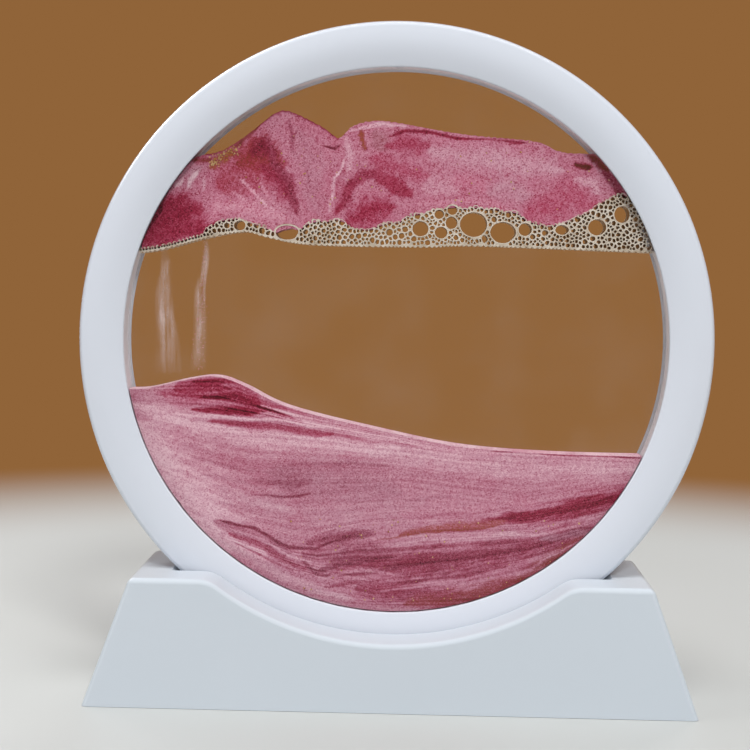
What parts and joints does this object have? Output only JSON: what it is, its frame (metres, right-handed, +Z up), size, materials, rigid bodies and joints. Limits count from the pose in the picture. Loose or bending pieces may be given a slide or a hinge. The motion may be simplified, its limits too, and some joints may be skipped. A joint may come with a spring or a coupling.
{
  "type": "moving sand art frame",
  "caption": "Round white ring with a sealed glass cell of water, pink sand and bubbles, held upright in the curved groove of a trapezoidal stand; the ring turns over to make the sand fall.",
  "frame": {"origin": "middle of the stand's underside, on the surface that it stands on", "axes": "+Z up, +X to the right of someone who looks at the front, +Y from the front to the back along the ring's axis"},
  "size_m": [0.18, 0.042, 0.1917],
  "materials": {
    "white_plastic": "glossy bluish white moulded plastic",
    "spacer_plastic": "satin grey lilac plastic",
    "clear_glass": "clear polished glass",
    "seal_rubber": "soft grey rubber",
    "water": "clear water",
    "foam": "cream coloured bubbles",
    "crimson_sand": "fine crimson sand",
    "pink_sand": "fine pink sand with dark grains",
    "rose_sand": "fine rose sand in pale and dark bands",
    "dark_sand": "fine dark red sand with pale bands"
  },
  "bodies": {
    "stand": {"stand_shell": "white_plastic"},
    "filling": {"upper_liquid": "water", "lower_liquid": "water", "bubble_layer": "foam", "upper_sand_left": "crimson_sand", "upper_sand_mound": "pink_sand", "upper_sand_ridge": "pink_sand", "sand_stream": "pink_sand", "lower_sand_drift": "rose_sand", "lower_sand_bed": "dark_sand"},
    "disc": {"front_ring": "white_plastic", "rear_ring": "white_plastic", "front_pane": "clear_glass", "rear_pane": "clear_glass", "spacer_ring": "spacer_plastic", "front_seal": "seal_rubber", "rear_seal": "seal_rubber", "front_cushion": "seal_rubber", "rear_cushion": "seal_rubber", "fill_plug": "seal_rubber"}
  },
  "joints": [
    {"name": "disc_lift", "type": "slide", "parent": "stand", "child": "filling", "axis": [0, 0, 1], "range_m": [0, 0.03]},
    {"name": "disc_turn", "type": "hinge", "parent": "filling", "child": "disc", "pos_m": [0, 0, 0.1017], "axis": [0, 1, 0], "continuous": true}
  ]
}
